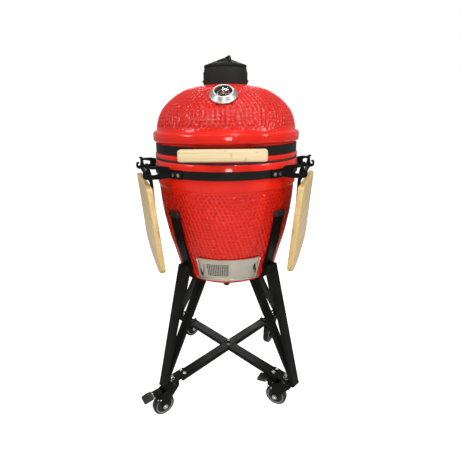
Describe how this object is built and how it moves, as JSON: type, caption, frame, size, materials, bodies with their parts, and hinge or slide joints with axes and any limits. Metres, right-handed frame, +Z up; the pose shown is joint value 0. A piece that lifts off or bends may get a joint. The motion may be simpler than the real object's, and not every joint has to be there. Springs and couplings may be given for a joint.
{
  "type": "kamado ceramic grill",
  "caption": "Egg-shaped ceramic grill with hinged dome lid, chimney vent, sliding draft door and folding side shelves, on a four-legged stand with casters.",
  "frame": {"origin": "on the floor under the grill's vertical axis, at the centre of the overall footprint", "axes": "+Z up along the grill's axis, -Y towards the front with the lid handle and draft door, +X to the right seen from the front"},
  "size_m": [0.6348, 0.5836, 1.1638],
  "materials": {
    "red_glaze": "glossy dimpled red glaze",
    "refractory": "unglazed cordierite ceramic",
    "felt": "woven high-temperature gasket",
    "black_steel": "black powder coat, fine texture",
    "dark_iron": "matte dark grey coated casting",
    "iron": "bare cast iron",
    "stainless": "brushed stainless steel",
    "bright_bolt": "bright zinc plated",
    "bamboo": "laminated bamboo, satin oil",
    "dial_face": "black printed dial",
    "needle": "white painted pointer",
    "lens": "clear glass",
    "rubber": "black rubber",
    "tyre": "black caster wheel with grey hub ring",
    "brake_plastic": "black moulded pedal"
  },
  "bodies": {
    "stand_and_base": {"base": "red_glaze", "base_gasket": "felt", "firebox": "refractory", "fire_ring": "refractory", "charcoal_grate": "iron", "cooking_grate": "stainless", "base_strap": "black_steel", "hinge_base_bracket": "black_steel", "hinge_pin": "bright_bolt", "hinge_springs": "bright_bolt", "draft_frame": "stainless", "draft_rivets": "bright_bolt", "leg_front_left": "black_steel", "leg_front_right": "black_steel", "leg_rear_left": "black_steel", "leg_rear_right": "black_steel", "arm_pads": "rubber", "brace_upper": "black_steel", "brace_lower": "black_steel", "brace_bolts": "bright_bolt", "foot_bolts": "bright_bolt", "shelf_bracket_left": "black_steel", "shelf_bracket_right": "black_steel", "shelf_rod_left": "black_steel", "shelf_rod_right": "black_steel", "base_band_bolts": "bright_bolt", "caster_stems": "bright_bolt", "base_bumper": "rubber"},
    "lid": {"lid": "red_glaze", "lid_gasket": "felt", "lid_strap": "black_steel", "hinge_lid_bracket": "black_steel", "lid_handle": "bamboo", "handle_brackets": "black_steel", "lid_band_bolts": "bright_bolt", "vent_housing": "dark_iron", "thermometer_bezel": "stainless", "thermometer_dial": "dial_face", "thermometer_glass": "lens", "thermometer_probe": "stainless", "thermometer_nut": "bright_bolt"},
    "vent_damper": {"vent_damper": "dark_iron"},
    "needle": {"thermometer_needle": "needle"},
    "draft_screen": {"draft_screen": "stainless"},
    "draft_door": {"draft_door": "stainless"},
    "shelf_left": {"shelf_left": "bamboo", "shelf_arms_left": "black_steel"},
    "shelf_right": {"shelf_right": "bamboo", "shelf_arms_right": "black_steel"},
    "caster_fl": {"caster_fork_fl": "black_steel"},
    "wheel_fl": {"caster_wheel_fl": "tyre"},
    "caster_fr": {"caster_fork_fr": "black_steel"},
    "wheel_fr": {"caster_wheel_fr": "tyre"},
    "caster_rl": {"caster_fork_rl": "black_steel"},
    "wheel_rl": {"caster_wheel_rl": "tyre"},
    "caster_rr": {"caster_fork_rr": "black_steel"},
    "wheel_rr": {"caster_wheel_rr": "tyre"},
    "pedal_fl": {"brake_pedal_fl": "brake_plastic"},
    "pedal_fr": {"brake_pedal_fr": "brake_plastic"}
  },
  "joints": [
    {"name": "lid_hinge", "type": "hinge", "parent": "stand_and_base", "child": "lid", "pos_m": [0, 0.268, 0.87], "axis": [-1, 0, 0], "range_deg": [0, 70]},
    {"name": "vent_turn", "type": "hinge", "parent": "lid", "child": "vent_damper", "pos_m": [0, 0, 1.127], "axis": [0, 0, 1], "range_deg": [0, 60]},
    {"name": "needle_turn", "type": "hinge", "parent": "lid", "child": "needle", "pos_m": [-0.00585, -0.1675, 1.048], "axis": [0.0215, 0.6153, -0.788], "range_deg": [0, 260]},
    {"name": "draft_screen_slide", "type": "hinge", "parent": "stand_and_base", "child": "draft_screen", "pos_m": [0, 0, 0.53], "axis": [0, 0, 1], "range_deg": [0, 22]},
    {"name": "draft_door_slide", "type": "hinge", "parent": "stand_and_base", "child": "draft_door", "pos_m": [0, 0, 0.53], "axis": [0, 0, -1], "range_deg": [0, 22]},
    {"name": "shelf_left_fold", "type": "hinge", "parent": "stand_and_base", "child": "shelf_left", "pos_m": [-0.2559, -0.08612, 0.832], "axis": [-0.319, 0.9478, 0], "range_deg": [0, 94]},
    {"name": "shelf_right_fold", "type": "hinge", "parent": "stand_and_base", "child": "shelf_right", "pos_m": [0.24832, -0.08357, 0.832], "axis": [-0.319, -0.9478, 0], "range_deg": [0, 94]},
    {"name": "caster_fl_swivel", "type": "hinge", "parent": "stand_and_base", "child": "caster_fl", "pos_m": [-0.2025, -0.2025, 0.11], "axis": [0, 0, 1], "continuous": true},
    {"name": "wheel_fl_spin", "type": "hinge", "parent": "caster_fl", "child": "wheel_fl", "pos_m": [-0.23252, -0.22237, 0.0375], "axis": [0.5519, -0.8339, 0], "continuous": true},
    {"name": "pedal_fl_tip", "type": "hinge", "parent": "caster_fl", "child": "pedal_fl", "pos_m": [-0.25253, -0.23562, 0.081], "axis": [0.5519, -0.8339, 0], "range_deg": [0, 10]},
    {"name": "caster_fr_swivel", "type": "hinge", "parent": "stand_and_base", "child": "caster_fr", "pos_m": [0.2025, -0.2025, 0.11], "axis": [0, 0, 1], "continuous": true},
    {"name": "wheel_fr_spin", "type": "hinge", "parent": "caster_fr", "child": "wheel_fr", "pos_m": [0.17071, -0.1856, 0.0375], "axis": [-0.4695, -0.8829, 0], "continuous": true},
    {"name": "pedal_fr_tip", "type": "hinge", "parent": "caster_fr", "child": "pedal_fr", "pos_m": [0.14952, -0.17433, 0.081], "axis": [-0.4695, -0.8829, 0], "range_deg": [0, 10]},
    {"name": "caster_rr_swivel", "type": "hinge", "parent": "stand_and_base", "child": "caster_rr", "pos_m": [0.2025, 0.2025, 0.11], "axis": [0, 0, 1], "continuous": true},
    {"name": "wheel_rr_spin", "type": "hinge", "parent": "caster_rr", "child": "wheel_rr", "pos_m": [0.1845, 0.17132, 0.0375], "axis": [0.866, -0.5, 0], "continuous": true},
    {"name": "caster_rl_swivel", "type": "hinge", "parent": "stand_and_base", "child": "caster_rl", "pos_m": [-0.2025, 0.2025, 0.11], "axis": [0, 0, 1], "continuous": true},
    {"name": "wheel_rl_spin", "type": "hinge", "parent": "caster_rl", "child": "wheel_rl", "pos_m": [-0.17492, 0.22564, 0.0375], "axis": [-0.6428, 0.766, 0], "continuous": true}
  ]
}
